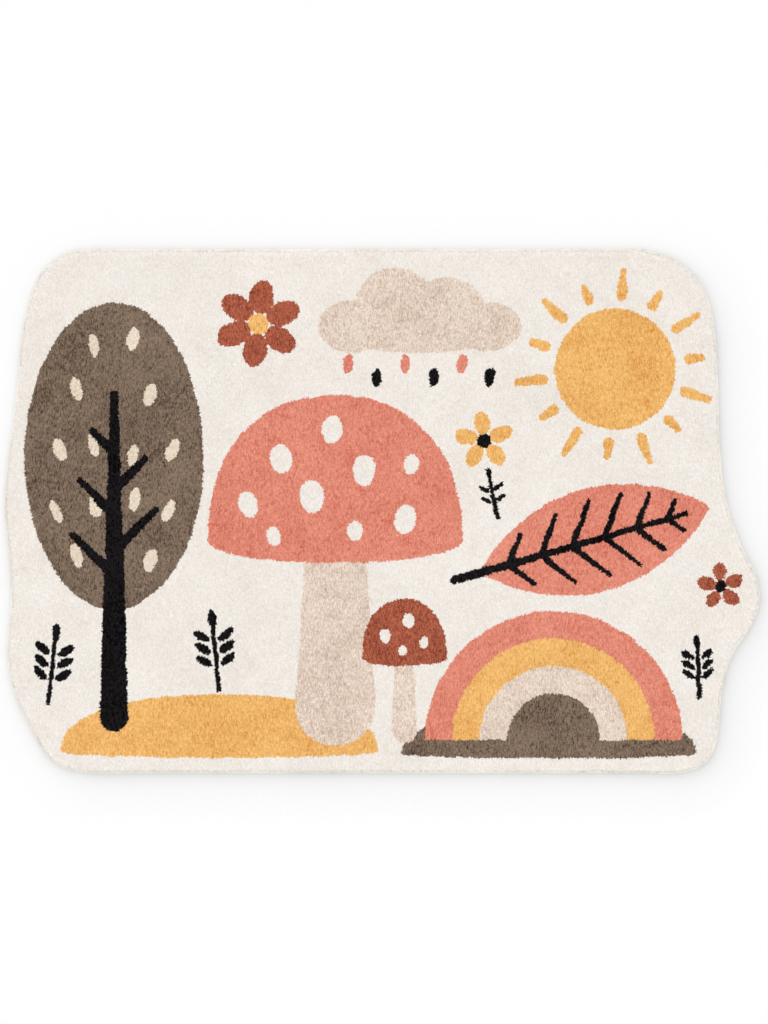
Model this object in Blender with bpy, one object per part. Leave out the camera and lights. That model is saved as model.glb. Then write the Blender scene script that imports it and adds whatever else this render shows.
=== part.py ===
"""A kids' rug: one tufted cotton mat with a free, rounded outline, lying flat.

Metres, +Z up. The origin is on the floor, under the middle of the rug's box. +X runs along its length.
The rug is one piece: the yarn is tufted through a base cloth whose edge is turned under as a narrow hem.
"""

import math

import bmesh
import bpy
from mathutils import Vector

# Driving dimensions
LENGTH = 1.600
WIDTH = 1.112
THICKNESS = 0.012
HEM_THICKNESS = 0.0024
HEM_ROUNDING = 0.0008
SHOULDER = 0.009
UNEVENNESS = 0.0007

# How finely the shape is cut
STEPS_PER_SPAN = 12
EDGE_STEP = 0.024
SHARP_ANGLE = math.radians(40)

PILE_COLOUR = (0.83, 0.79, 0.72, 1.0)
PILE_ROUGHNESS = 0.95

# The outline, clockwise from the left end of its top edge: x and y from the middle of the rug.
OUTLINE = (
    # x, y
    (-0.620, 0.5555),
    (-0.460, 0.5560),
    (0.440, 0.5555),
    (0.560, 0.5520),
    (0.636, 0.5220),
    (0.684, 0.4620),
    (0.704, 0.3750),
    (0.710, 0.2600),
    (0.714, 0.1300),
    (0.729, 0.0150),
    (0.762, -0.0800),
    (0.790, -0.1350),
    (0.798, -0.1950),
    (0.776, -0.2500),
    (0.738, -0.3100),
    (0.718, -0.3800),
    (0.711, -0.4600),
    (0.694, -0.5230),
    (0.636, -0.5550),
    (0.460, -0.5560),
    (-0.460, -0.5560),
    (-0.630, -0.5550),
    (-0.700, -0.5310),
    (-0.736, -0.4760),
    (-0.768, -0.4150),
    (-0.790, -0.3450),
    (-0.793, -0.2700),
    (-0.786, -0.1900),
    (-0.790, -0.1050),
    (-0.799, -0.0050),
    (-0.794, 0.1000),
    (-0.779, 0.2150),
    (-0.767, 0.3400),
    (-0.752, 0.4350),
    (-0.722, 0.5080),
    (-0.676, 0.5460),
)

# The rug's edge, from the floor up to the flat of the pile: how far in from the outline, and how high.
EDGE_PROFILE = (
    # inset, height
    (0.0012, 0.0),
    (0.0000, HEM_ROUNDING),
    (0.0000, HEM_THICKNESS),
    (0.0014, HEM_THICKNESS + HEM_ROUNDING),
    (0.0008, 0.5 * THICKNESS),
    (0.0022, SHOULDER),
    (0.0058, SHOULDER + 0.7 * (THICKNESS - SHOULDER)),
    (0.0130, THICKNESS),
)

# The rings that close in on the middle of the pile's top: how far in, and how many edge points apart.
TOP_RINGS = (
    # share, stride
    (0.10, 2),
    (0.24, 2),
    (0.38, 4),
    (0.54, 4),
    (0.70, 4),
    (0.86, 8),
)
COARSEST_STRIDE = max(stride for _, stride in TOP_RINGS)

# The slow swells of the pile's top: wavelengths along x and y, a phase, and a share of UNEVENNESS.
SWELLS = (
    # wave_x, wave_y, phase, share
    (0.61, 0.83, 0.4, 0.45),
    (-0.47, 0.55, 2.1, 0.35),
    (0.39, -1.30, 4.0, 0.20),
)


def through(before, start, end, after, share):
    """A point on the smooth curve from start to end, which also heeds the point on either side."""
    square = share * share
    cube = square * share
    return 0.5 * (
        2 * start
        + (end - before) * share
        + (2 * before - 5 * start + 4 * end - after) * square
        + (3 * start - before - 3 * end + after) * cube
    )


def smooth_outline():
    """The outline as a smooth closed curve of many points."""
    corners = [Vector(point) for point in OUTLINE]
    count = len(corners)
    return [
        through(
            corners[i - 1],
            corners[i],
            corners[(i + 1) % count],
            corners[(i + 2) % count],
            step / STEPS_PER_SPAN,
        )
        for i in range(count)
        for step in range(STEPS_PER_SPAN)
    ]


def even_steps(curve):
    """The closed curve cut again at even steps of about EDGE_STEP, as many as the top's rings divide by."""
    spans = [(end - start).length for start, end in zip(curve, curve[1:] + curve[:1])]
    count = COARSEST_STRIDE * round(sum(spans) / (COARSEST_STRIDE * EDGE_STEP))
    step = sum(spans) / count
    points = []
    passed = 0.0
    for start, end, span in zip(curve, curve[1:] + curve[:1], spans):
        while len(points) < count and len(points) * step < passed + span:
            points.append(start.lerp(end, (len(points) * step - passed) / span))
        passed += span
    return points


def rug_outline():
    """The edge of the rug at even steps, set to its exact length and width about the origin."""
    points = even_steps(smooth_outline())
    low = Vector((min(p.x for p in points), min(p.y for p in points)))
    high = Vector((max(p.x for p in points), max(p.y for p in points)))
    middle = (low + high) / 2
    span = high - low
    return [
        Vector(((p.x - middle.x) * LENGTH / span.x, (p.y - middle.y) * WIDTH / span.y))
        for p in points
    ]


def inset_curve(curve, inset):
    """The curve moved inwards by inset, square to itself."""
    count = len(curve)
    moved = []
    for i, point in enumerate(curve):
        along = (curve[(i + 1) % count] - curve[i - 1]).normalized()
        moved.append(point + Vector((along.y, -along.x)) * inset)
    return moved


def swell(point):
    """How far the pile's top stands above or below its mean height at a point."""
    return UNEVENNESS * sum(
        share * math.sin(math.tau * (point.x / wave_x + point.y / wave_y) + phase)
        for wave_x, wave_y, phase, share in SWELLS
    )


def edge_rings(curve):
    """The rings of points up the rug's edge."""
    return [
        [Vector((p.x, p.y, height)) for p in inset_curve(curve, inset)]
        for inset, height in EDGE_PROFILE
    ]


def top_rings(rim):
    """Rings that close in on the rug's middle from the pile's rim, following the swells."""
    rings = []
    for share, stride in TOP_RINGS:
        points = [Vector((p.x, p.y)) * (1 - share) for p in rim[::stride]]
        rings.append([Vector((p.x, p.y, THICKNESS + swell(p))) for p in points])
    return rings


def add_loop(bm, ring):
    """Adds one closed loop of edges and returns its vertices and edges."""
    verts = [bm.verts.new(point) for point in ring]
    edges = [bm.edges.new((a, b)) for a, b in zip(verts, verts[1:] + verts[:1])]
    return verts, edges


def rug_mesh():
    """The rug as one closed mesh: a flat underside, the edge, and the softly uneven top."""
    bm = bmesh.new()
    sides = edge_rings(rug_outline())
    loops = [add_loop(bm, ring) for ring in sides + top_rings(sides[-1])]
    for (_, lower), (_, upper) in zip(loops, loops[1:]):
        bmesh.ops.bridge_loops(bm, edges=lower + upper)
    bm.faces.new(loops[0][0])
    middle = bm.verts.new((0.0, 0.0, THICKNESS + swell(Vector((0.0, 0.0)))))
    last = loops[-1][0]
    for a, b in zip(last, last[1:] + last[:1]):
        bm.faces.new((a, b, middle))
    bmesh.ops.triangulate(bm, faces=bm.faces[:])
    bmesh.ops.recalc_face_normals(bm, faces=bm.faces[:])
    mesh = bpy.data.meshes.new("rug")
    bm.to_mesh(mesh)
    bm.free()
    mesh.shade_smooth()
    mesh.set_sharp_from_angle(angle=SHARP_ANGLE)
    return mesh


def cotton():
    """Matt cream cotton yarn."""
    material = bpy.data.materials.new("cotton_pile")
    material.use_nodes = True
    shader = material.node_tree.nodes["Principled BSDF"]
    shader.inputs["Base Color"].default_value = PILE_COLOUR
    shader.inputs["Roughness"].default_value = PILE_ROUGHNESS
    shader.inputs["Metallic"].default_value = 0.0
    return material


def main():
    """Clears the scene and models the rug."""
    for old in list(bpy.data.objects):
        bpy.data.objects.remove(old)
    rug = bpy.data.objects.new("rug", rug_mesh())
    rug.data.materials.append(cotton())
    bpy.context.scene.collection.objects.link(rug)


main()
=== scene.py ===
"""Looks of a kids' rug: short cut cotton pile in several yarn colours on a hemmed canvas.

The pile is real geometry, one leaning lock for each tuft, and each yarn colour is a piece of its own.
Simple shapes sort the tufts' places into a plain woodland picture of a tree, toadstools and a rainbow.
Metres, +Z up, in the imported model's frame. A place on the rug is a complex number: x along it, y across it.
"""

import logging
import math
from cmath import rect
from collections.abc import Iterator
from contextlib import contextmanager
from dataclasses import dataclass, fields
from enum import Enum

import bpy
import numpy as np
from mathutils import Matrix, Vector


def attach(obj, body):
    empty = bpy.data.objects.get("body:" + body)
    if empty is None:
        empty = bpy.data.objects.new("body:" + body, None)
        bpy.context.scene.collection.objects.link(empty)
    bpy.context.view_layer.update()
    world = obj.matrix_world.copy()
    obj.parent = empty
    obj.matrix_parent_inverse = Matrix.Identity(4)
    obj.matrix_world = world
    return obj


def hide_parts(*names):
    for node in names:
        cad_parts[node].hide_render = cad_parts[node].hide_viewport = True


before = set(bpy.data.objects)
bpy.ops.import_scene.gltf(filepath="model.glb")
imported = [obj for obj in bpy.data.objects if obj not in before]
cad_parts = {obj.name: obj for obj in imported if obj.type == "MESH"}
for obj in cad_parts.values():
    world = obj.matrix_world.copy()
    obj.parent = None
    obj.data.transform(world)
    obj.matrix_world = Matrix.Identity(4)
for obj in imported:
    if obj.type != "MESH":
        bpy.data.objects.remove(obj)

log = logging.getLogger("rug")

BODY = "root"
NODE = "rug"
BAKE_MAP = "OFBake"
MAP_BORDER = 0.01

Numbers = np.ndarray
Places = np.ndarray
Colour = tuple[float, float, float]
Inputs = dict[str | int, object]


class Yarn(Enum):
    """The yarn colours, named as the record's material slots."""

    CREAM = "cream_pile"
    CORAL = "coral_pile"
    MUSTARD = "mustard_pile"
    RUST = "rust_pile"
    TAUPE = "taupe_pile"
    BLUSH = "blush_pile"
    BEIGE = "beige_pile"
    BLACK = "black_pile"


def smoothstep(share: Numbers) -> Numbers:
    """Eases shares, clipped here to 0 to 1."""
    held = np.clip(share, 0.0, 1.0)
    return held * held * (3.0 - 2.0 * held)


def dot(places: Places, way: tuple[float, float]) -> Numbers:
    """The dot product of each place with a direction."""
    return places.real * way[0] + places.imag * way[1]


class Drift:
    """Smooth random numbers over the rug: random values on a lattice, eased from one to the next."""

    REACH = 1.2
    FINER = 0.5
    WEAKER = 0.6

    def __init__(
        self, seed: int, cell: float, octaves: int = 1, stretch: tuple[float, float] = (1.0, 1.0)
    ) -> None:
        """Draws the lattices.

        Args:
            seed: Seed of the random values.
            cell: Size of the largest lattice's cells, in metres.
            octaves: How many lattices there are, each finer and weaker than the one before.
            stretch: Factors for x and y, under 1 along the way that the drift is drawn out.
        """
        draw = np.random.default_rng(seed)
        self.stretch = stretch
        self.layers = []
        strength = 1.0
        for _ in range(octaves):
            across = int(2 * self.REACH / cell) + 2
            self.layers.append((cell, strength, draw.uniform(-1.0, 1.0, (across, across))))
            cell *= self.FINER
            strength *= self.WEAKER

    def at(self, places: Places) -> Numbers:
        """Reads the drift.

        Args:
            places: Places on the rug.

        Returns:
            Numbers from about -1 to 1.
        """
        x, y = self.stretch[0] * places.real, self.stretch[1] * places.imag
        total = np.zeros_like(x)
        for cell, strength, lattice in self.layers:
            u, v = (x + self.REACH) / cell, (y + self.REACH) / cell
            i, j = np.floor(u).astype(int), np.floor(v).astype(int)
            a, b = smoothstep(u - i), smoothstep(v - j)
            low = lattice[i, j] * (1 - a) + lattice[i + 1, j] * a
            high = lattice[i, j + 1] * (1 - a) + lattice[i + 1, j + 1] * a
            total += strength * (low * (1 - b) + high * b)
        return total


class Rim:
    """The rug's outline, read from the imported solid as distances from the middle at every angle."""

    HEM_BAND = (0.0015, 0.0030)
    STEPS = 720
    ANGLE_DIGITS = 6
    STEPS_PER_CHORD = 24

    def __init__(self, node: str) -> None:
        """Reads the outline.

        Args:
            node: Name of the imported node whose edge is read.
        """
        x, y, z = np.array([v.co[:] for v in bpy.data.objects[node].data.vertices]).T
        low, high = self.HEM_BAND
        hem = (x + 1j * y)[(z > low) & (z < high)]
        _, first = np.unique(np.angle(hem).round(self.ANGLE_DIGITS), return_index=True)
        edge = self.along_chords(hem[first])
        self.angles = np.linspace(-math.pi, math.pi, self.STEPS, endpoint=False)
        self.radii = self.smooth(np.interp(self.angles, np.angle(edge), abs(edge), period=math.tau))
        spokes = np.exp(1j * self.angles)
        self.points = self.radii * spokes
        along = np.roll(self.points, -1) - np.roll(self.points, 1)
        self.normals = -1j * along / abs(along)
        self.facing = (spokes * self.normals.conj()).real

    @classmethod
    def along_chords(cls, corners: Places) -> Places:
        """Adds points along the straight runs between the corners of a closed outline.

        Args:
            corners: The corners in order.

        Returns:
            All the points in order.
        """
        share = np.linspace(0.0, 1.0, cls.STEPS_PER_CHORD, endpoint=False)
        onward = np.roll(corners, -1) - corners
        return (corners[:, None] + share * onward[:, None]).ravel()

    @staticmethod
    def smooth(radii: Numbers) -> Numbers:
        """Takes the last corners off the outline: averages each distance with its neighbours."""
        return 0.25 * np.roll(radii, 1) + 0.5 * radii + 0.25 * np.roll(radii, -1)

    def read(self, values: Numbers, places: Places) -> Numbers:
        """Reads values that are known at every step of the outline, out past each place."""
        return np.interp(np.angle(places), self.angles, values, period=math.tau)

    def inset(self, places: Places) -> Numbers:
        """How far inside the outline places are, exact near the edge and negative outside."""
        return (self.read(self.radii, places) - abs(places)) * self.read(self.facing, places)

    def outward(self, places: Places) -> Places:
        """The directions square to the nearest edge, of length 1."""
        out = self.read(self.normals, places)
        return out / abs(out)

    def area(self) -> float:
        """The area inside the outline, in square metres."""
        return 0.5 * float(abs((self.points.conj() * np.roll(self.points, -1)).imag.sum()))


class Shape:
    """A flat shape of the picture."""

    def covers(self, places: Places) -> Numbers:
        """Says of each place whether it lies in the shape."""
        raise NotImplementedError


@dataclass(frozen=True)
class Oval(Shape):
    """An oval, turned anticlockwise by some degrees."""

    middle: complex
    half_width: float
    half_height: float
    turn: float = 0.0

    def covers(self, places: Places) -> Numbers:
        """Says of each place whether it lies in the oval."""
        off = (places - self.middle) * rect(1.0, -math.radians(self.turn))
        return (off.real / self.half_width) ** 2 + (off.imag / self.half_height) ** 2 <= 1.0


@dataclass(frozen=True)
class Line(Shape):
    """A shape drawn along a straight line."""

    start: complex
    end: complex

    def local(self, places: Places) -> Places:
        """The places on a scale where the line starts at 0 and ends at 1."""
        return (places - self.start) / (self.end - self.start)

    def length(self) -> float:
        """The line's length."""
        return abs(self.end - self.start)


@dataclass(frozen=True)
class Stroke(Line):
    """A straight stroke with round ends, which may taper."""

    half_start: float
    half_end: float

    def covers(self, places: Places) -> Numbers:
        """Says of each place whether it lies in the stroke.

        Args:
            places: Places on the rug.

        Returns:
            True or False for each place.
        """
        local = self.local(places)
        share = np.clip(local.real, 0.0, 1.0)
        half_width = self.half_start + (self.half_end - self.half_start) * share
        return abs(local - share) * self.length() <= half_width


@dataclass(frozen=True)
class Blade(Line):
    """A leaf's outline: pointed at both ends, widest near its middle."""

    half_width: float
    fullness: float = 0.75

    def covers(self, places: Places) -> Numbers:
        """Says of each place whether it lies in the leaf.

        Args:
            places: Places on the rug.

        Returns:
            True or False for each place.
        """
        local = self.local(places)
        half_width = self.half_width * np.sin(math.pi * np.clip(local.real, 0.0, 1.0)) ** self.fullness
        beside = abs(local.imag) * self.length() <= half_width
        return beside & (local.real > 0.0) & (local.real < 1.0)


@dataclass(frozen=True)
class Arch(Shape):
    """A half ring that stands on its two feet."""

    middle: complex
    outer: float
    inner: float

    def covers(self, places: Places) -> Numbers:
        """Says of each place whether it lies in the arch."""
        off = places - self.middle
        return (off.imag >= 0.0) & (abs(off) <= self.outer) & (abs(off) >= self.inner)


@dataclass(frozen=True)
class Dome(Shape):
    """A high round top over a shallow round lip, as of a toadstool's cap or a hill."""

    middle: complex
    half_width: float
    height: float
    lip: float
    squareness: float = 2.2

    def covers(self, places: Places) -> Numbers:
        """Says of each place whether it lies in the dome.

        Args:
            places: Places on the rug.

        Returns:
            True or False for each place.
        """
        off = places - self.middle
        across = abs(off.real) / self.half_width
        up = np.where(off.imag > 0.0, off.imag / self.height, -off.imag / self.lip)
        return across**self.squareness + up**self.squareness <= 1.0


Layer = tuple[Yarn, Shape]


@dataclass(frozen=True)
class Motif:
    """A thing in the picture, at its place on the rug."""

    x: float
    y: float

    def at(self, across: float = 0.0, up: float = 0.0) -> complex:
        """A place beside and above the motif's own."""
        return complex(self.x + across, self.y + up)

    def layers(self) -> Iterator[Layer]:
        """Lays the motif's shapes, each with its yarn, the lowest first."""
        raise NotImplementedError


@dataclass(frozen=True)
class Tree(Motif):
    """A tall round tree, placed by its crown's middle, with a trunk, branches and dashes for leaves."""

    half_width: float
    half_height: float
    foot: float
    trunk: tuple[float, float] = (0.031, 0.009)
    trunk_top: float = 0.130
    twig: tuple[float, float] = (0.0120, 0.0075)
    dash: float = 0.0125
    slip: tuple[float, float] = (0.004, 0.012)

    BRANCHES = (
        # side, low, rise
        (-1, -0.78, 0.27),
        (1, -0.62, 0.27),
        (-1, -0.38, 0.22),
        (1, -0.22, 0.20),
        (-1, 0.02, 0.14),
    )
    ROWS = (2, 3, 4, 4, 3)
    TOP_ROW = 0.76
    ROW_STEP = 0.36
    COLUMN_STEP = 0.42
    FAN = -16.0
    DASH_WIDTHS = (0.85, 0.95, 1.05)
    DASH_HEIGHT = 2.0

    def layers(self) -> Iterator[Layer]:
        """Lays the crown, its dashes, the trunk and the branches.

        Yields:
            Each shape with its yarn, the lowest first.
        """
        yield Yarn.TAUPE, Oval(self.at(), self.half_width, self.half_height)
        yield from self.dashes()
        yield Yarn.BLACK, Stroke(self.at(0, self.foot), self.at(0, self.trunk_top), *self.trunk)
        for side, low, rise in self.BRANCHES:
            fork = self.at(0, low * self.half_height)
            tip = fork + rise * self.half_height * complex(side, 1)
            yield Yarn.BLACK, Stroke(fork, tip, *self.twig)

    def dashes(self) -> Iterator[Layer]:
        """Lays rows of dashes in the crown, each a little out of line, with none on the trunk.

        Yields:
            Each dash with its yarn.
        """
        aside, lift = self.slip
        for row, count in enumerate(self.ROWS):
            up = self.half_height * (self.TOP_ROW - self.ROW_STEP * row)
            for k in range(count):
                side = k - (count - 1) / 2
                if not side:
                    continue
                across = side * self.COLUMN_STEP * self.half_width
                place = self.at(across + aside * ((row + k) % 3 - 1), up + lift * ((2 * row + k) % 3 - 1))
                half_width = self.DASH_WIDTHS[(row + 2 * k) % 3] * self.dash
                yield Yarn.BEIGE, Oval(place, half_width, self.DASH_HEIGHT * self.dash, self.FAN * side)


@dataclass(frozen=True)
class Toadstool(Motif):
    """A toadstool, placed by the middle of its brim, with a spotted cap and a straight stem."""

    foot: float
    half_width: float
    height: float
    half_stem: float
    cap: Yarn
    spots: tuple[tuple[float, float, float], ...]

    STEM_SHARES = (1.12, 0.82)
    LIP = 0.16
    SPOT_HEIGHT = 1.35
    SPOT_FAN = -22.0

    def layers(self) -> Iterator[Layer]:
        """Lays the stem, the cap and its spots.

        Yields:
            Each shape with its yarn, the lowest first.
        """
        low, high = (share * self.half_stem for share in self.STEM_SHARES)
        yield Yarn.BLUSH, Stroke(self.at(0, self.foot + self.half_stem), self.at(), low, high)
        yield self.cap, Dome(self.at(), self.half_width, self.height, self.LIP * self.height)
        for across, up, size in self.spots:
            place = self.at(across * self.half_width, up * self.height)
            wide = size * self.half_width
            yield Yarn.CREAM, Oval(place, wide, self.SPOT_HEIGHT * wide, self.SPOT_FAN * across)


@dataclass(frozen=True)
class Rainbow(Motif):
    """Bands of half rings, one inside the other, placed by the middle of its foot."""

    outer: float
    band: float
    yarns: tuple[Yarn, ...]

    def layers(self) -> Iterator[Layer]:
        """Lays the bands, the widest first.

        Yields:
            Each band with its yarn.
        """
        for k, yarn in enumerate(self.yarns):
            outer = self.outer - k * self.band
            yield yarn, Arch(self.at(), outer, outer - self.band)


@dataclass(frozen=True)
class Mound(Motif):
    """A low round hill that other motifs stand on, placed by the middle of its foot."""

    half_width: float
    height: float
    yarn: Yarn

    LIP = 0.12

    def layers(self) -> Iterator[Layer]:
        """Lays the hill."""
        yield self.yarn, Dome(self.at(), self.half_width, self.height, self.LIP * self.height)


@dataclass(frozen=True)
class Sun(Motif):
    """A disc with separate rays, long and short by turns."""

    disc: float
    rays: int = 14
    ray: tuple[float, float] = (0.0115, 0.0075)

    NEAR = 1.22
    REACHES = (1.44, 1.62)
    TURN = 0.3

    def layers(self) -> Iterator[Layer]:
        """Lays the disc and its rays.

        Yields:
            Each shape with its yarn.
        """
        middle = self.at()
        yield Yarn.MUSTARD, Oval(middle, self.disc, self.disc)
        for k in range(self.rays):
            out = rect(self.disc, math.tau * (k + self.TURN) / self.rays)
            near, far = middle + self.NEAR * out, middle + self.REACHES[k % 2] * out
            yield Yarn.MUSTARD, Stroke(near, far, *self.ray)


@dataclass(frozen=True)
class Cloud(Motif):
    """A cloud of overlapping rounds, with drops falling from it."""

    width: float
    drop: tuple[float, float] = (0.0105, 0.0205)
    drops: int = 6

    ROUNDS = (
        # across, up, half_width, half_height
        (-0.33, -0.06, 0.17, 0.13),
        (-0.12, 0.03, 0.20, 0.20),
        (0.14, 0.01, 0.19, 0.17),
        (0.34, -0.06, 0.16, 0.12),
        (0.0, -0.10, 0.42, 0.09),
    )
    SPREAD = 0.70
    FALLS = (0.245, 0.310)
    SLANT = -8.0

    def layers(self) -> Iterator[Layer]:
        """Lays the cloud's rounds and its drops.

        Yields:
            Each shape with its yarn.
        """
        for sizes in self.ROUNDS:
            across, up, half_width, half_height = (size * self.width for size in sizes)
            yield Yarn.BLUSH, Oval(self.at(across, up), half_width, half_height)
        for k in range(self.drops):
            across = (k / (self.drops - 1) - 0.5) * self.SPREAD
            place = self.at(across * self.width, -self.FALLS[k % 2] * self.width)
            yield (Yarn.CORAL, Yarn.BLACK)[k % 2], Oval(place, *self.drop, self.SLANT)


@dataclass(frozen=True)
class VeinedLeaf(Motif):
    """A large leaf, placed by its stalk's end, with a midrib and pairs of veins."""

    reach: tuple[float, float]
    half_width: float
    yarn: Yarn
    pairs: int = 6
    rib: tuple[float, float] = (0.0095, 0.0058)
    vein: tuple[float, float] = (0.0074, 0.0050)

    STALK = -0.12
    RIB_END = 0.90
    VEINS_FROM = 0.12
    VEINS_SPAN = 0.70
    VEIN_REACH = 0.74
    VEIN_PEAK = 0.08
    VEIN_SLANT = 0.75

    def layers(self) -> Iterator[Layer]:
        """Lays the leaf, its midrib and its veins.

        Yields:
            Each shape with its yarn, the lowest first.
        """
        start, along = self.at(), complex(*self.reach)
        blade = Blade(start, start + along, self.half_width)
        yield self.yarn, blade
        yield Yarn.BLACK, Stroke(start + self.STALK * along, start + self.RIB_END * along, *self.rib)
        for k in range(self.pairs):
            share = self.VEINS_FROM + self.VEINS_SPAN * k / (self.pairs - 1)
            wide = math.sin(math.pi * (share + self.VEIN_PEAK)) ** blade.fullness
            ahead = self.VEIN_REACH * self.half_width * wide * along / abs(along)
            fork = start + share * along
            for side in (-1, 1):
                yield Yarn.BLACK, Stroke(fork, fork + ahead * complex(self.VEIN_SLANT, side), *self.vein)


@dataclass(frozen=True)
class Flower(Motif):
    """A small open flower of round petals."""

    reach: float
    petals: int
    yarn: Yarn
    eye: Yarn

    TURN = 0.4
    PETAL = (0.62, 0.40, 0.28)
    EYE = 0.24

    def layers(self) -> Iterator[Layer]:
        """Lays the petals and the eye.

        Yields:
            Each shape with its yarn, the lowest first.
        """
        out, half_length, half_width = (share * self.reach for share in self.PETAL)
        for k in range(self.petals):
            angle = math.tau * k / self.petals + self.TURN
            yield self.yarn, Oval(self.at() + rect(out, angle), half_length, half_width, math.degrees(angle))
        yield self.eye, Oval(self.at(), self.EYE * self.reach, self.EYE * self.reach)


@dataclass(frozen=True)
class Sprig(Motif):
    """A thin stem, placed by its foot, with small leaves in pairs and one at its tip."""

    height: float
    turn: float
    pairs: int = 3
    stem: tuple[float, float] = (0.0056, 0.0044)

    LEAVES_FROM = 0.30
    LEAVES_SPAN = 0.52
    LEAF_REACH = 0.17
    LEAF_RISE = 0.7
    LEAF_TURN = -55.0
    LEAF = (0.060, 0.130)

    def layers(self) -> Iterator[Layer]:
        """Lays the stem and its leaves.

        Yields:
            Each shape with its yarn.
        """
        foot = self.at()
        across = rect(self.height, math.radians(self.turn))
        up = 1j * across
        yield Yarn.BLACK, Stroke(foot, foot + up, *self.stem)
        leaves = [(foot + up, self.turn)]
        for k in range(self.pairs):
            fork = foot + (self.LEAVES_FROM + self.LEAVES_SPAN * k / self.pairs) * up
            for side in (-1, 1):
                place = fork + self.LEAF_REACH * (side * across + self.LEAF_RISE * up)
                leaves.append((place, self.turn + self.LEAF_TURN * side))
        half_width, half_length = (share * self.height for share in self.LEAF)
        for place, turn in leaves:
            yield Yarn.BLACK, Oval(place, half_width, half_length, turn)


class Picture:
    """The rug's picture: motifs in the order they are laid, each over the ones before."""

    MOTIFS = (
        Mound(x=-0.345, y=-0.505, half_width=0.335, height=0.120, yarn=Yarn.MUSTARD),
        Mound(x=0.352, y=-0.510, half_width=0.312, height=0.092, yarn=Yarn.TAUPE),
        Tree(x=-0.567, y=0.118, half_width=0.189, half_height=0.325, foot=-0.550),
        Cloud(x=0.078, y=0.418, width=0.43),
        Sun(x=0.492, y=0.302, disc=0.128),
        Toadstool(
            x=-0.100,
            y=-0.058,
            foot=-0.427,
            half_width=0.270,
            height=0.305,
            half_stem=0.076,
            cap=Yarn.CORAL,
            spots=(
                # across, up, size
                (-0.68, 0.24, 0.075),
                (-0.42, 0.56, 0.085),
                (-0.02, 0.76, 0.080),
                (-0.18, 0.30, 0.095),
                (0.23, 0.48, 0.090),
                (0.60, 0.52, 0.060),
                (0.55, 0.14, 0.085),
                (-0.48, 0.02, 0.055),
                (0.16, 0.06, 0.060),
            ),
        ),
        Rainbow(
            x=0.362,
            y=-0.482,
            outer=0.272,
            band=0.058,
            yarns=(Yarn.CORAL, Yarn.MUSTARD, Yarn.BLUSH, Yarn.TAUPE),
        ),
        Toadstool(
            x=0.046,
            y=-0.306,
            foot=-0.180,
            half_width=0.090,
            height=0.122,
            half_stem=0.024,
            cap=Yarn.RUST,
            spots=((-0.45, 0.35, 0.12), (0.10, 0.62, 0.13), (0.46, 0.25, 0.11), (-0.04, 0.10, 0.10)),
        ),
        VeinedLeaf(x=0.210, y=-0.128, reach=(0.480, 0.138), half_width=0.110, yarn=Yarn.CORAL),
        Flower(x=-0.262, y=0.398, reach=0.090, petals=6, yarn=Yarn.RUST, eye=Yarn.MUSTARD),
        Flower(x=0.215, y=0.150, reach=0.062, petals=5, yarn=Yarn.MUSTARD, eye=Yarn.BLACK),
        Flower(x=0.716, y=-0.158, reach=0.050, petals=5, yarn=Yarn.RUST, eye=Yarn.BLACK),
        Sprig(x=-0.345, y=-0.375, height=0.150, turn=6.0),
        Sprig(x=0.245, y=-0.012, height=0.095, turn=12.0, pairs=2),
        Sprig(x=-0.705, y=-0.405, height=0.150, turn=-6.0),
        Sprig(x=0.670, y=-0.392, height=0.118, turn=3.0),
    )
    WOBBLE = 0.0014

    def __init__(self) -> None:
        """Draws the wobble of the motifs' edges."""
        self.sideways = Drift(seed=11, cell=0.020, octaves=2)
        self.upwards = Drift(seed=12, cell=0.020, octaves=2)

    def yarns_at(self, places: Places) -> Numbers:
        """Sorts places by yarn.

        Args:
            places: Places on the rug.

        Returns:
            The index of each place's yarn in Yarn.
        """
        order = list(Yarn)
        places = places + self.WOBBLE * self.sideways.at(places)
        places = places + 1j * self.WOBBLE * self.upwards.at(places)
        found = np.full(len(places), order.index(Yarn.CREAM))
        for motif in self.MOTIFS:
            for yarn, shape in motif.layers():
                found[shape.covers(places)] = order.index(yarn)
        return found


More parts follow.
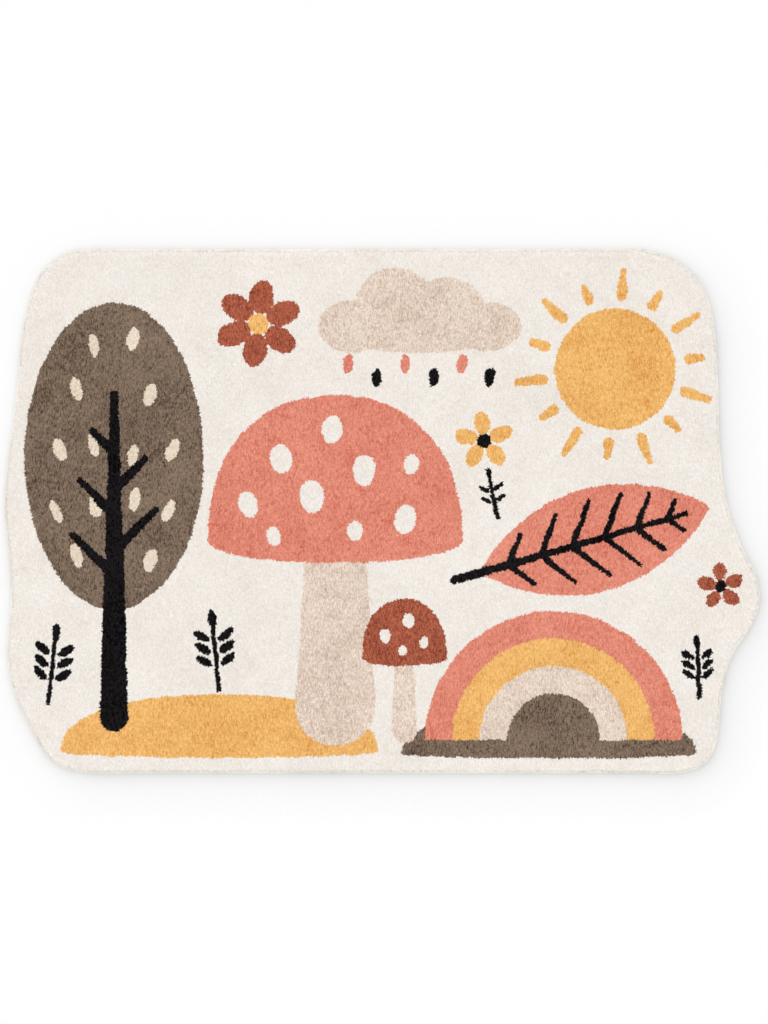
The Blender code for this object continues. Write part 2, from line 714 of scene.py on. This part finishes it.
class Relief:
    """How the brushed pile rises and falls: clumps, fine streaks, long wrinkles and short partings."""

    # Heights
    CLUMP = 0.00015
    STREAK = 0.00080
    WRINKLE = 0.00025
    SWELL = 0.00035
    PARTING = 0.00240

    # How much of the relief the quieter yarns keep
    QUIET = {
        Yarn.CREAM: 0.50,
        Yarn.CORAL: 0.80,
        Yarn.MUSTARD: 0.80,
        Yarn.TAUPE: 0.85,
        Yarn.BLUSH: 0.90,
        Yarn.BEIGE: 0.80,
    }

    # Shapes
    WRINKLE_STRETCH = 0.24
    WRINKLE_TURNS = 1.6
    WRINKLE_BIAS = 0.5
    STREAK_STRETCH = 0.34
    STREAK_SLANT = 0.20
    STREAK_TURNS = 1.5
    STREAK_DEPTHS = (1.7, 0.6)
    CLEFT_WIDTH = 0.13
    DASH_FROM = 0.30
    DASH_FADE = 0.25

    def __init__(self) -> None:
        """Draws the drifts that the relief is made of."""
        self.clumps = Drift(seed=21, cell=0.010, octaves=2)
        self.swells = Drift(seed=22, cell=0.060, octaves=2)
        self.across = Drift(seed=23, cell=0.0070, octaves=2, stretch=(self.WRINKLE_STRETCH, 1.0))
        self.down = Drift(seed=24, cell=0.0070, octaves=2, stretch=(1.0, self.WRINKLE_STRETCH))
        self.way = Drift(seed=25, cell=0.160)
        self.lines = Drift(seed=26, cell=0.020, octaves=2)
        self.dashes = Drift(seed=27, cell=0.016)
        self.left = Drift(seed=28, cell=0.0030, stretch=(1.0, self.STREAK_STRETCH))
        self.right = Drift(seed=29, cell=0.0030, stretch=(1.0, self.STREAK_STRETCH))
        self.sides = Drift(seed=30, cell=0.090)

    def wrinkles(self, places: Places) -> Numbers:
        """Makes long low ridges, which run across the rug in some places and along it in others.

        Args:
            places: Places on the rug.

        Returns:
            Numbers from about -1 to 1.
        """
        bias = self.WRINKLE_BIAS * (places.real - places.imag)
        way = smoothstep(0.5 + self.WRINKLE_TURNS * self.way.at(places) + bias)
        return way * self.across.at(places) + (1.0 - way) * self.down.at(places)

    def streaks(self, places: Places) -> Numbers:
        """Makes fine upright streaks, as brushed yarn has, leaning a little to one side or the other.

        Args:
            places: Places on the rug.

        Returns:
            Numbers from about -1.7 in the clefts to 0.6 on the ridges.
        """
        side = smoothstep(0.5 + self.STREAK_TURNS * self.sides.at(places))
        slant = self.STREAK_SLANT * places.imag
        found = side * self.left.at(places + slant) + (1.0 - side) * self.right.at(places - slant)
        cleft, ridge = self.STREAK_DEPTHS
        return cleft * np.minimum(found, 0.0) + ridge * np.maximum(found, 0.0)

    def partings(self, places: Places) -> Numbers:
        """Makes short narrow clefts along some of the level lines of a drift.

        Args:
            places: Places on the rug.

        Returns:
            Numbers from 0 to 1, which is the bottom of a cleft.
        """
        near = 1.0 - smoothstep(abs(self.lines.at(places)) / self.CLEFT_WIDTH)
        return near * smoothstep((self.dashes.at(places) - self.DASH_FROM) / self.DASH_FADE)

    def at(self, places: Places, yarn: Numbers) -> Numbers:
        """Adds the relief up.

        Args:
            places: Places on the rug.
            yarn: The index of each place's yarn in Yarn.

        Returns:
            Heights over or under the mean pile, in metres.
        """
        quiet = np.array([self.QUIET.get(each, 1.0) for each in Yarn])[yarn]
        lively = self.CLUMP * self.clumps.at(places) + self.STREAK * self.streaks(places)
        lively += self.WRINKLE * self.wrinkles(places) - self.PARTING * self.partings(places)
        return quiet * lively + self.SWELL * self.swells.at(places)


class Workbench:
    """Steps of modelling by hand that several pieces share."""

    FACES_UP = 0.9
    SHARP_ANGLE = math.radians(50)

    @staticmethod
    def deselect() -> None:
        """Deselects every object."""
        bpy.ops.object.select_all(action="DESELECT")

    @staticmethod
    @contextmanager
    def editing() -> Iterator[None]:
        """Puts the active piece in edit mode for the length of a with block.

        Yields:
            Nothing.
        """
        bpy.ops.object.mode_set(mode="EDIT")
        yield
        bpy.ops.object.mode_set(mode="OBJECT")

    @classmethod
    def choose_top(cls, mesh: bpy.types.Mesh) -> None:
        """Selects the faces of a mesh that look up, and nothing else.

        Args:
            mesh: The mesh.
        """
        for parts in (mesh.vertices, mesh.edges):
            parts.foreach_set("select", [False] * len(parts))
        for face in mesh.polygons:
            face.select = face.normal.z > cls.FACES_UP

    @staticmethod
    def planar_map(mesh: bpy.types.Mesh) -> None:
        """Gives a mesh a map of its own, looking straight down on it.

        Args:
            mesh: The mesh to map.
        """
        points = np.empty(len(mesh.vertices) * 3, np.float32)
        mesh.vertices.foreach_get("co", points)
        flat = points.reshape(-1, 3)[:, :2]
        corners = np.empty(len(mesh.loops), np.int32)
        mesh.loops.foreach_get("vertex_index", corners)
        share = (flat[corners] - flat.min(0)) / np.ptp(flat, axis=0)
        places = MAP_BORDER + (1.0 - 2.0 * MAP_BORDER) * share
        mesh.uv_layers.new(name=BAKE_MAP).data.foreach_set("uv", places.astype(np.float32).ravel())

    @classmethod
    def slab(cls, name: str, ring: Places, bottom: float, top: float) -> bpy.types.Object:
        """Pulls a disc to a ring of points, extrudes it up and leaves its top face selected.

        Args:
            name: Name of the piece.
            ring: The points of its edge.
            bottom: Height of its underside.
            top: Height of its top.

        Returns:
            The piece, in object mode.
        """
        cls.deselect()
        bpy.ops.mesh.primitive_circle_add(vertices=len(ring), radius=1.0, fill_type="NGON")
        piece = bpy.context.object
        piece.name = piece.data.name = name
        for vertex, place in zip(piece.data.vertices, ring):
            vertex.co = (place.real, place.imag, bottom)
        with cls.editing():
            bpy.ops.mesh.select_mode(type="FACE")
            bpy.ops.mesh.select_all(action="SELECT")
            bpy.ops.mesh.normals_make_consistent(inside=False)
            bpy.ops.mesh.extrude_region_move(TRANSFORM_OT_translate={"value": (0, 0, top - bottom)})
            bpy.ops.mesh.select_all(action="SELECT")
            bpy.ops.mesh.normals_make_consistent(inside=False)
        cls.choose_top(piece.data)
        return piece

    @classmethod
    def finish(cls, piece: bpy.types.Object) -> None:
        """Maps the active piece and shades it smooth, apart from its sharp edges.

        Args:
            piece: The piece.
        """
        cls.planar_map(piece.data)
        piece.data.shade_smooth()
        bpy.ops.object.shade_smooth_by_angle(angle=cls.SHARP_ANGLE)


@dataclass(frozen=True)
class Tufts:
    """The tufts of the pile: one entry for each in every field.

    A tuft's lock has its foot and tip at the heights base and height, and half is half its width. Its tip
    stands off its foot by lean, it is turned by turn, and shade is its lightness from 0 to 1: a random
    tone, with painted light and shade from the relief and along the edge.
    """

    place: Places
    yarn: Numbers
    base: Numbers
    height: Numbers
    half: Numbers
    lean: Places
    turn: Numbers
    shade: Numbers

    def only(self, chosen: Numbers) -> "Tufts":
        """The tufts that are chosen."""
        return Tufts(*(getattr(self, field.name)[chosen] for field in fields(self)))


@dataclass(frozen=True)
class Pile:
    """The cut pile: locks of yarn, one a tuft, on a jittered lattice inside the rim."""

    rim: Rim
    picture: Picture

    # The lattice of tufts, and how far inside the rim it ends
    spacing: float = 0.00305
    jitter: float = 0.40
    margin: float = 0.0022
    margin_wander: float = 0.0005

    # Heights of a lock's foot and tip, and how they fall off at the edge
    root: float = 0.0078
    root_edge: float = 0.0018
    tip: float = 0.0122
    edge_drop: float = 0.0052
    shoulder: float = 0.010
    uneven: float = 0.00038

    # Half a lock's width, and how much narrower it is one way
    half_lock: float = 0.0086
    half_edge: float = 0.0022
    edge_band: float = 0.009
    narrow: float = 0.70

    # How far the tips lean, and which way
    brushed: float = 0.0018
    brushed_wander: float = 0.0008
    brush_way: float = -1.9
    brush_wander: float = 0.9
    clumping: float = 0.0009
    stray: float = 0.00060
    twist: float = 0.35

    # How far the tips hang out over the edge, and where they are trimmed shortest
    overhang: float = 0.0022
    trim: float = 0.0007
    trimmed_side: tuple[float, float] = (-0.5, -0.7)
    lean_band: float = 0.010
    edge_hold: float = 0.85

    # How light the tufts are, the painted light and shade that follow the relief, and the painted shade along
    # the edge, which turns to painted light at the bottom
    shade_mean: float = 0.58
    shade_spread: float = 0.08
    shade_rise: float = 260.0
    worn: float = 0.10
    worn_side: tuple[float, float] = (0.02, 0.36)
    worn_band: float = 0.0065

    most_faces: int = 190_000
    seed: int = 7

    @staticmethod
    def lock() -> tuple[Numbers, Numbers]:
        """Models one lock by hand, of height 1 and half width 1.

        Returns:
            Its points and its triangles' corners.
        """
        Workbench.deselect()
        bpy.ops.mesh.primitive_cone_add(vertices=3, radius1=1.0, depth=1.0, location=(0, 0, 0.5))
        cone = bpy.context.object
        bpy.ops.object.transform_apply(location=True, rotation=True, scale=True)
        with Workbench.editing():
            bpy.ops.mesh.select_all(action="SELECT")
            bpy.ops.mesh.quads_convert_to_tris()
            bpy.ops.mesh.normals_make_consistent(inside=False)
        points = np.array([v.co[:] for v in cone.data.vertices])
        faces = np.array([p.vertices[:] for p in cone.data.polygons])
        bpy.data.meshes.remove(cone.data)
        return points, faces

    def places(self, draw: np.random.Generator) -> tuple[Places, Numbers]:
        """Spreads the tufts over the rug.

        Args:
            draw: Source of random numbers.

        Returns:
            Their places, and how far inside the pile's edge they are.
        """
        edge = self.rim.points
        columns = np.arange(edge.real.min(), edge.real.max(), self.spacing)
        rows = np.arange(edge.imag.min(), edge.imag.max(), self.spacing * math.sqrt(0.75))
        offset = 0.5 * self.spacing * (np.arange(len(rows)) % 2)
        places = (columns + (offset + 1j * rows)[:, None]).ravel()
        for way in (1, 1j):
            places = places + way * self.spacing * draw.uniform(-self.jitter, self.jitter, len(places))
        wander = self.margin_wander * Drift(seed=36, cell=0.050, octaves=2).at(places)
        inset = self.rim.inset(places) - self.margin - wander
        kept = inset > 0.0
        return places[kept], inset[kept]

    def plant(self) -> Tufts:
        """Works out every tuft: its place, height, lean, turn, shade and yarn.

        Returns:
            The tufts.
        """
        draw = np.random.default_rng(self.seed)
        places, inset = self.places(draw)
        count = len(places)
        yarn = self.picture.yarns_at(places)
        relief = Relief().at(places, yarn)
        inner = smoothstep(inset / self.edge_band)
        drop = self.edge_drop * (1.0 - np.sqrt(np.clip(inset / self.shoulder, 0.0, 1.0)))
        height = self.tip - drop + relief + draw.normal(0.0, self.uneven, count)
        shade = self.shade_mean + draw.normal(0.0, self.shade_spread, count)
        # Painted light and shade: tufts are lighter where the relief is high and darker where it is low, and
        # the edge strip is darker, most at the top, but lighter at the bottom.
        rim_shade = self.worn + dot(self.rim.outward(places), self.worn_side)
        shade += self.shade_rise * relief - rim_shade * (1.0 - smoothstep(inset / self.worn_band))
        lean = self.leans(places, inset, draw)
        turn = np.angle(lean) + draw.normal(0.0, self.twist, count) + math.pi * draw.integers(0, 2, count)
        return Tufts(
            place=places,
            yarn=yarn,
            base=self.root_edge + (self.root - self.root_edge) * inner,
            height=height,
            half=self.half_edge + (self.half_lock - self.half_edge) * inner,
            lean=lean,
            turn=turn,
            shade=np.clip(shade, 0.0, 1.0),
        )

    def leans(self, places: Places, inset: Numbers, draw: np.random.Generator) -> Places:
        """Works out how far each tip leans: with the brushing, in clumps, and out at the rim.

        Args:
            places: Places on the rug.
            inset: How far inside the pile's edge they are.
            draw: Source of random numbers.

        Returns:
            The way from each tuft's foot to its tip, seen from above.
        """
        way = self.brush_way + self.brush_wander * Drift(seed=31, cell=0.110, octaves=2).at(places)
        strength = self.brushed + self.brushed_wander * Drift(seed=32, cell=0.040, octaves=2).at(places)
        sideways, upwards = (Drift(seed=seed, cell=0.014, octaves=2).at(places) for seed in (33, 34))
        lean = strength * np.exp(1j * way) + self.clumping * (sideways + 1j * upwards)
        lean += draw.normal(0.0, self.stray, (len(places), 2)) @ (1, 1j)
        edge = 1.0 - smoothstep(inset / self.lean_band)
        out = self.rim.outward(places)
        reach = self.overhang - self.trim * dot(out, self.trimmed_side)
        return lean * (1.0 - self.edge_hold * edge) + reach * edge * out

    def build(self, name: str, tufts: Tufts, lock: tuple[Numbers, Numbers]) -> bpy.types.Object:
        """Joins the locks of some tufts into one piece.

        Args:
            name: Name of the piece.
            tufts: The tufts.
            lock: The lock's points and its triangles' corners.

        Returns:
            The piece.
        """
        points, faces = lock
        count = len(tufts.place)
        long, wide, up = points.T
        spread = (tufts.half * np.exp(1j * tufts.turn))[:, None] * (long + 1j * self.narrow * wide)
        flat = tufts.place[:, None] + spread + tufts.lean[:, None] * up
        rise = tufts.base[:, None] + (tufts.height - tufts.base)[:, None] * up
        verts = np.stack([flat.real, flat.imag, rise], 2)
        corners = (faces[None] + (np.arange(count) * len(points))[:, None, None]).ravel()
        mesh = bpy.data.meshes.new(name)
        mesh.vertices.add(count * len(points))
        mesh.vertices.foreach_set("co", verts.astype(np.float32).ravel())
        mesh.loops.add(len(corners))
        mesh.loops.foreach_set("vertex_index", corners.astype(np.int32))
        mesh.polygons.add(len(corners) // 3)
        mesh.polygons.foreach_set("loop_start", np.arange(0, len(corners), 3, dtype=np.int32))
        mesh.update(calc_edges=True)
        shade = mesh.attributes.new("tuft_shade", "FLOAT", "POINT")
        shade.data.foreach_set("value", np.repeat(tufts.shade, len(points)).astype(np.float32))
        Workbench.planar_map(mesh)
        mesh.shade_smooth()
        piece = bpy.data.objects.new(name, mesh)
        bpy.context.scene.collection.objects.link(piece)
        return piece

    def pieces(self) -> Iterator[tuple[Yarn, bpy.types.Object]]:
        """Builds a piece for each yarn, and several for the ground, so that none holds too many locks.

        Yields:
            Each yarn with its piece.
        """
        lock = self.lock()
        tufts = self.plant()
        for index, yarn in enumerate(Yarn):
            own = tufts.only(tufts.yarn == index)
            along = own.place.real
            parts = math.ceil(len(lock[1]) * len(along) / self.most_faces)
            bounds = np.quantile(along, np.linspace(0.0, 1.0, parts + 1))
            slots = np.clip(np.searchsorted(bounds, along, side="right") - 1, 0, parts - 1)
            for part in range(parts):
                name = f"pile_{yarn.name.lower()}" + (f"_{part + 1}" if parts > 1 else "")
                yield yarn, self.build(name, own.only(slots == part), lock)


@dataclass(frozen=True)
class PileFoot:
    """The dense foot of the pile, where the tufts stand packed together on the base cloth."""

    rim: Rim
    bottom: float = 0.0010
    top: float = 0.0084
    inset: float = 0.0008
    shoulder: float = 0.0068
    shoulder_steps: int = 4

    def build(self) -> bpy.types.Object:
        """Models the foot by hand as a slab, set in from the hem, with a rounded shoulder.

        Returns:
            The piece.
        """
        ring = self.rim.points - self.inset * self.rim.normals
        foot = Workbench.slab("pile_foot", ring, self.bottom, self.top)
        with Workbench.editing():
            bpy.ops.mesh.bevel(offset=self.shoulder, segments=self.shoulder_steps, affect="EDGES")
        Workbench.finish(foot)
        return foot


@dataclass(frozen=True)
class BaseCloth:
    """The canvas that the yarn is tufted through, with its edge turned under as a hem."""

    rim: Rim
    hem_thickness: float = 0.0024
    cloth_thickness: float = 0.0014
    hem_width: float = 0.018
    hem_slope: float = 0.002
    rounding: float = 0.0009
    rounding_steps: int = 3
    rounded_from: float = math.radians(60)

    def build(self) -> bpy.types.Object:
        """Models the cloth by hand as a slab with a sunk middle and a rounded fold.

        Returns:
            The piece.
        """
        cloth = Workbench.slab("base_cloth", self.rim.points, 0.0, self.hem_thickness)
        with Workbench.editing():
            bpy.ops.mesh.inset(thickness=self.hem_width, depth=0.0)
            bpy.ops.mesh.inset(thickness=self.hem_slope, depth=self.cloth_thickness - self.hem_thickness)
        fold = cloth.modifiers.new("fold", "BEVEL")
        fold.width = self.rounding
        fold.segments = self.rounding_steps
        fold.limit_method = "ANGLE"
        fold.angle_limit = self.rounded_from
        bpy.context.view_layer.objects.active = cloth
        bpy.ops.object.modifier_apply(modifier=fold.name)
        Workbench.finish(cloth)
        return cloth


def srgb(red: int, green: int, blue: int) -> Colour:
    """Turns a screen colour, 0 to 255, into the linear colour that shaders take.

    Args:
        red: Red.
        green: Green.
        blue: Blue.

    Returns:
        The linear colour.
    """
    shares = (part / 255 for part in (red, green, blue))
    return tuple(share / 12.92 if share < 0.04045 else ((share + 0.055) / 1.055) ** 2.4 for share in shares)


class NodeDesk:
    """Lays out the nodes of a material, a world or a group."""

    def __init__(self, tree: bpy.types.NodeTree) -> None:
        """Takes the tree that nodes are added to."""
        self.tree = tree

    @classmethod
    def of(cls, owner: bpy.types.ID) -> "NodeDesk":
        """Takes the nodes of a material or a world."""
        owner.use_nodes = True
        return cls(owner.node_tree)

    def add(self, kind: str, given: Inputs, **settings: object) -> bpy.types.ShaderNode:
        """Adds a node.

        Args:
            kind: Type name of the node.
            given: For each named input, its value or the output that feeds it.
            **settings: The node's own settings.

        Returns:
            The node.
        """
        node = self.tree.nodes.new(kind)
        for name, value in settings.items():
            setattr(node, name, value)
        self.feed(node, given)
        return node

    def feed(self, node: bpy.types.ShaderNode, given: Inputs) -> None:
        """Sets or joins a node's inputs.

        Args:
            node: The node.
            given: For each named input, its value or the output that feeds it.
        """
        for name, value in given.items():
            if isinstance(value, bpy.types.NodeSocket):
                self.tree.links.new(value, node.inputs[name])
            else:
                node.inputs[name].default_value = value

    def maths(self, operation: str, *values: object, clamp: bool = False) -> bpy.types.NodeSocket:
        """Adds one step of arithmetic, whose result may be clamped to 0 to 1."""
        given = dict(enumerate(values))
        return self.add("ShaderNodeMath", given, operation=operation, use_clamp=clamp).outputs[0]

    def tone(self, light_share: object, deep: Colour, light: Colour) -> bpy.types.NodeSocket:
        """Mixes a deep and a light colour."""
        given = {"Factor": light_share, "A": (*deep, 1.0), "B": (*light, 1.0)}
        return self.add("ShaderNodeMix", given, data_type="RGBA").outputs["Result"]

    def bump(self, height: object, distance: float, strength: float) -> bpy.types.NodeSocket:
        """Turns heights from 0 to 1 into a surface's small relief."""
        given = {"Strength": strength, "Distance": distance, "Height": height}
        return self.add("ShaderNodeBump", given).outputs["Normal"]

    def surface(self, given: Inputs) -> None:
        """Sets or joins the inputs of a material's own shader."""
        self.feed(self.tree.nodes["Principled BSDF"], given)


class BrushedPile:
    """The node group for cut pile: random light and dark patches, the tufts' lightness with its painted
    shade, and fibre relief.
    """

    INPUTS = {"Place": "NodeSocketVector", "Tuft": "NodeSocketFloat", "Blotch": "NodeSocketFloat"}
    OUTPUTS = {"Light": "NodeSocketFloat", "Fibre": "NodeSocketFloat"}
    BLOTCHES = (
        # scale, share, detail, stretch
        (5.0, 0.15, 1.0, (1.0, 1.0, 1.0)),
        (16.0, 0.16, 1.0, (1.0, 1.0, 1.0)),
        (430.0, 0.22, 0.0, (0.25, 1.0, 1.0)),
        (520.0, 0.70, 0.0, (1.0, 0.25, 1.0)),
    )
    BLOTCH_ROUGHNESS = 0.62
    TUFT_SHARE = 0.90
    FIBRE_SCALE = 900.0
    FIBRE_DETAIL = 2.0

    def build(self) -> bpy.types.NodeTree:
        """Makes the group.

        Returns:
            The group, with inputs Place, Tuft and Blotch and outputs Light and Fibre.
        """
        group = bpy.data.node_groups.new("brushed_pile", "ShaderNodeTree")
        for way, sockets in (("INPUT", self.INPUTS), ("OUTPUT", self.OUTPUTS)):
            for name, kind in sockets.items():
                group.interface.new_socket(name, in_out=way, socket_type=kind)
        desk = NodeDesk(group)
        given = desk.add("NodeGroupInput", {}).outputs
        total = 0.0
        for scale, share, detail, stretch in self.BLOTCHES:
            spread = {0: given["Place"], 1: stretch}
            noise = {
                "Vector": desk.add("ShaderNodeVectorMath", spread, operation="MULTIPLY").outputs[0],
                "Scale": scale,
                "Detail": detail,
                "Roughness": self.BLOTCH_ROUGHNESS,
            }
            value = desk.add("ShaderNodeTexNoise", noise).outputs["Fac"]
            total = desk.maths("ADD", total, desk.maths("MULTIPLY_ADD", value, 2.0 * share, -share))
        uneven = desk.maths("MULTIPLY", total, given["Blotch"])
        tuft = desk.maths("MULTIPLY_ADD", given["Tuft"], self.TUFT_SHARE, 0.5 * (1.0 - self.TUFT_SHARE))
        fibre = {"Vector": given["Place"], "Scale": self.FIBRE_SCALE, "Detail": self.FIBRE_DETAIL}
        shown = {
            "Light": desk.maths("ADD", uneven, tuft, clamp=True),
            "Fibre": desk.add("ShaderNodeTexNoise", fibre).outputs["Fac"],
        }
        desk.add("NodeGroupOutput", shown)
        return group


@dataclass(frozen=True)
class PileFinish:
    """The look of one yarn: a light and a deep tone, mixed by random patches and by the tufts' lightness,
    which carries painted light and shade.
    """

    light: Colour
    deep: Colour
    blotch: float = 1.0
    sheen: float = 0.10
    gloss: float = 0.15

    ROUGHNESS = 0.95
    SHEEN_ROUGHNESS = 0.6
    FIBRE_STRENGTH = 0.35
    FIBRE_HEIGHT = 0.0006

    def material(self, name: str, brushed: bpy.types.NodeTree) -> bpy.types.Material:
        """Makes the yarn's material.

        Args:
            name: Name of the material.
            brushed: The node group that says how the pile is brushed.

        Returns:
            The material.
        """
        material = bpy.data.materials.new(name)
        desk = NodeDesk.of(material)
        place = desk.add("ShaderNodeTexCoord", {}).outputs["Object"]
        tuft = desk.add("ShaderNodeAttribute", {}, attribute_name="tuft_shade").outputs["Fac"]
        brushing = {"Place": place, "Tuft": tuft, "Blotch": self.blotch}
        pile = desk.add("ShaderNodeGroup", brushing, node_tree=brushed).outputs
        surface = {
            "Base Color": desk.tone(pile["Light"], self.deep, self.light),
            "Normal": desk.bump(pile["Fibre"], self.FIBRE_HEIGHT, self.FIBRE_STRENGTH),
            "Roughness": self.ROUGHNESS,
            "Specular IOR Level": self.gloss,
            "Sheen Weight": self.sheen,
            "Sheen Roughness": self.SHEEN_ROUGHNESS,
        }
        desk.surface(surface)
        return material


FINISHES = {
    Yarn.CREAM: PileFinish(light=srgb(244, 240, 235), deep=srgb(226, 217, 207)),
    Yarn.CORAL: PileFinish(light=srgb(239, 163, 141), deep=srgb(197, 98, 77), blotch=0.85),
    Yarn.MUSTARD: PileFinish(light=srgb(249, 206, 132), deep=srgb(211, 143, 60), blotch=0.88),
    Yarn.RUST: PileFinish(light=srgb(195, 109, 80), deep=srgb(124, 54, 35), blotch=1.2),
    Yarn.TAUPE: PileFinish(light=srgb(151, 130, 111), deep=srgb(68, 50, 37), blotch=1.12),
    Yarn.BLUSH: PileFinish(light=srgb(245, 231, 218), deep=srgb(193, 168, 149)),
    Yarn.BEIGE: PileFinish(light=srgb(242, 231, 215), deep=srgb(206, 188, 163)),
    Yarn.BLACK: PileFinish(light=srgb(34, 31, 33), deep=srgb(3, 2, 3), blotch=3.1, sheen=0.0, gloss=0.06),
}
FOOT_FINISH = PileFinish(light=srgb(242, 238, 232), deep=srgb(231, 226, 218))


@dataclass(frozen=True)
class CanvasFinish:
    """The look of the base cloth: plain weave in unbleached cotton."""

    pitch: float = 0.0011
    light: Colour = srgb(242, 238, 231)
    deep: Colour = srgb(232, 227, 218)

    WAVE_LENGTH = 20.0
    UNEVENNESS = 0.4
    UNEVEN_DETAIL = 1.0
    THREAD_HEIGHT = 0.0003
    THREAD_STRENGTH = 0.5
    ROUGHNESS = 0.9
    GLOSS = 0.2

    def material(self) -> bpy.types.Material:
        """Makes the canvas material.

        Returns:
            The material.
        """
        material = bpy.data.materials.new("base_canvas")
        desk = NodeDesk.of(material)
        thread = {
            "Vector": desk.add("ShaderNodeTexCoord", {}).outputs["Object"],
            "Scale": math.tau / (self.WAVE_LENGTH * self.pitch),
            "Distortion": self.UNEVENNESS,
            "Detail": self.UNEVEN_DETAIL,
        }
        threads = (desk.add("ShaderNodeTexWave", thread, bands_direction=way).outputs["Fac"] for way in "XY")
        weave = desk.maths("MAXIMUM", *threads)
        surface = {
            "Base Color": desk.tone(weave, self.deep, self.light),
            "Normal": desk.bump(weave, self.THREAD_HEIGHT, self.THREAD_STRENGTH),
            "Roughness": self.ROUGHNESS,
            "Specular IOR Level": self.GLOSS,
        }
        desk.surface(surface)
        return material


@dataclass(frozen=True)
class Studio:
    """The pale floor, the soft light from above, and the camera straight over the rug."""

    # The photograph, in pixels
    pixels_wide: int = 768
    pixels_high: int = 1024
    rug_pixels: float = 755.0
    centre_pixel: tuple[float, float] = (382.5, 511.5)

    # The camera
    rug_length: float = 1.600
    lens: float = 70.0
    sensor: float = 36.0
    clip_share: float = 4.0

    # The floor, and the soft shadow painted into its colour round the rug
    floor_side: float = 14.0
    floor_tone: float = 0.80
    contact_tone: float = 0.50
    contact_spread: float = 0.60
    contact_reach: float = 0.100
    contact_side: tuple[float, float, float] = (-0.42, 0.33, 0.85)
    contact_samples: int = 8

    # The key light
    key_from: tuple[float, float, float] = (-0.05, 0.30, 1.20)
    key_spread: float = 60.0
    key_strength: float = 0.84

    # The sky's strength, and the heights between which it fades
    horizon: float = 1.40
    zenith: float = 0.82
    fade: tuple[float, float] = (0.25, 0.80)

    def build(self) -> None:
        """Makes the floor, the lights, the sky and the camera."""
        self.floor()
        self.key_light()
        self.sky_light()
        self.camera()
        bpy.context.scene.view_settings.view_transform = "Standard"

    def floor(self) -> None:
        """Lays the floor, with a soft shadow painted into its colour round the rug."""
        Workbench.deselect()
        bpy.ops.mesh.primitive_plane_add(size=self.floor_side)
        floor = bpy.context.object
        floor.name = "floor"
        material = bpy.data.materials.new("floor_paper")
        desk = NodeDesk.of(material)
        # Painted shadow: the floor's colour darkens where ambient occlusion, leant to one side, finds the rug
        # close by.
        side = desk.add("ShaderNodeCombineXYZ", dict(enumerate(self.contact_side))).outputs["Vector"]
        near = {"Distance": self.contact_reach, "Normal": side}
        open_sky = desk.add("ShaderNodeAmbientOcclusion", near, samples=self.contact_samples).outputs["AO"]
        hidden = desk.maths("MULTIPLY_ADD", open_sky, -1.0, 1.0)
        shadow = desk.maths("POWER", hidden, self.contact_spread)
        tone = {"Value": shadow, "To Min": self.floor_tone, "To Max": self.contact_tone}
        surface = {
            "Base Color": desk.add("ShaderNodeMapRange", tone).outputs["Result"],
            "Roughness": 1.0,
            "Specular IOR Level": 0.0,
        }
        desk.surface(surface)
        floor.data.materials.append(material)

    def key_light(self) -> None:
        """Sets a broad soft light high above, a little towards the rug's top edge."""
        light = bpy.data.lights.new("key", "SUN")
        light.energy = self.key_strength
        light.angle = math.radians(self.key_spread)
        lamp = bpy.data.objects.new("key", light)
        lamp.rotation_euler = Vector(self.key_from).to_track_quat("Z", "Y").to_euler()
        bpy.context.scene.collection.objects.link(lamp)

    def sky_light(self) -> None:
        """Fills the world with white, brighter towards the horizon."""
        world = bpy.data.worlds.new("studio")
        desk = NodeDesk.of(world)
        direction = desk.add("ShaderNodeTexCoord", {}).outputs["Generated"]
        fade = {
            "Value": desk.add("ShaderNodeSeparateXYZ", {"Vector": direction}).outputs["Z"],
            "From Min": self.fade[0],
            "From Max": self.fade[1],
            "To Min": self.horizon,
            "To Max": self.zenith,
        }
        strength = desk.add("ShaderNodeMapRange", fade, interpolation_type="SMOOTHSTEP").outputs["Result"]
        white = (1.0, 1.0, 1.0, 1.0)
        desk.feed(world.node_tree.nodes["Background"], {"Color": white, "Strength": strength})
        bpy.context.scene.world = world

    def camera(self) -> None:
        """Sets the camera over the rug, so that it fills the frame as in the photograph."""
        scale = self.rug_length / self.rug_pixels
        distance = self.pixels_high * scale * self.lens / self.sensor
        data = bpy.data.cameras.new("camera")
        data.lens = self.lens
        data.sensor_width = self.sensor
        data.clip_end = self.clip_share * distance
        camera = bpy.data.objects.new("camera", data)
        camera.location = (
            (self.pixels_wide / 2 - self.centre_pixel[0]) * scale,
            (self.centre_pixel[1] - self.pixels_high / 2) * scale,
            distance,
        )
        bpy.context.scene.collection.objects.link(camera)
        bpy.context.scene.camera = camera


def dress(piece: bpy.types.Object, material: bpy.types.Material) -> None:
    """Gives a piece its material and its body.

    Args:
        piece: The piece.
        material: Its material.
    """
    piece.data.materials.append(material)
    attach(piece, BODY)
    log.info("%s: %d faces", piece.name, len(piece.data.polygons))


def main() -> None:
    """Builds the rug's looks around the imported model."""
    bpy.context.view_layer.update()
    rim = Rim(NODE)
    brushed = BrushedPile().build()
    cloth = BaseCloth(rim).build()
    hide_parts(NODE)
    dress(cloth, CanvasFinish().material())
    foot = PileFoot(rim).build()
    dress(foot, FOOT_FINISH.material("cream_foot", brushed))
    yarns = {yarn: finish.material(yarn.value, brushed) for yarn, finish in FINISHES.items()}
    for yarn, piece in Pile(rim, Picture()).pieces():
        dress(piece, yarns[yarn])
    rim.area()
    Studio().build()


if __name__ == "__main__":
    logging.basicConfig(level=logging.INFO)
    main()
